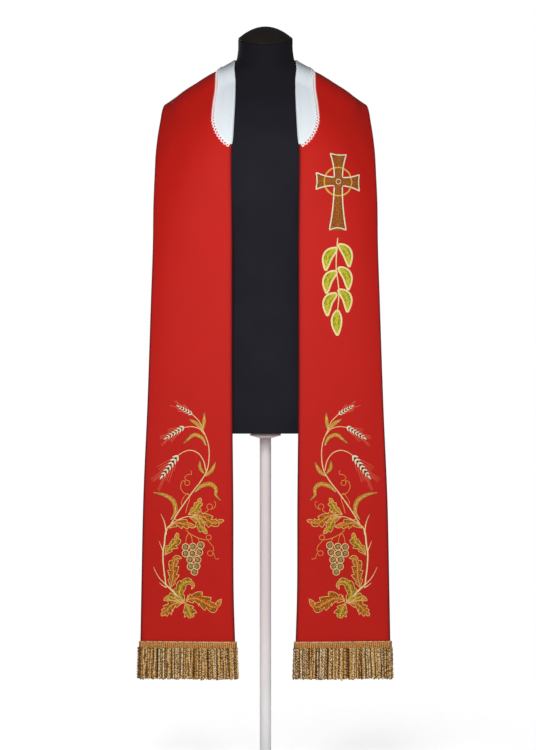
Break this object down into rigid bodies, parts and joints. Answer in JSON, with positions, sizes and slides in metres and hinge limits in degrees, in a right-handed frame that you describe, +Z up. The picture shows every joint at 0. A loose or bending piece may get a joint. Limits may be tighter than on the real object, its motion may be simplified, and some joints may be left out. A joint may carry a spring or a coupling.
{
  "type": "clerical stole on a dress form",
  "caption": "Long band of red cloth worn round the neck, hanging in two flat fronts with fringed hems and a lace-edged white neck band, shown on a limbless dress form.",
  "frame": {"origin": "centre of the round base's underside, on the floor", "axes": "+Z up; -Y towards the front of the stole; +X towards the right of someone who stands in front of it"},
  "size_m": [0.5528, 0.34, 1.6406],
  "materials": {
    "red_cloth": "matt plain weave, stiffened and lined",
    "white_cloth": "smooth white cotton",
    "white_lace": "scalloped cotton lace",
    "gold_thread": "twisted metallic thread",
    "black_jersey": "fine blue-black jersey",
    "black_cap": "satin brown-black",
    "white_lacquer": "white lacquer"
  },
  "bodies": {
    "root": {"panel_right": "red_cloth", "panel_left": "red_cloth", "fringe_right": "gold_thread", "fringe_left": "gold_thread", "neck_band": "white_cloth", "neck_lace": "white_lace", "form_torso": "black_jersey", "form_cap": "black_cap", "stand_pole": "white_lacquer", "stand_base": "white_lacquer"}
  },
  "joints": []
}
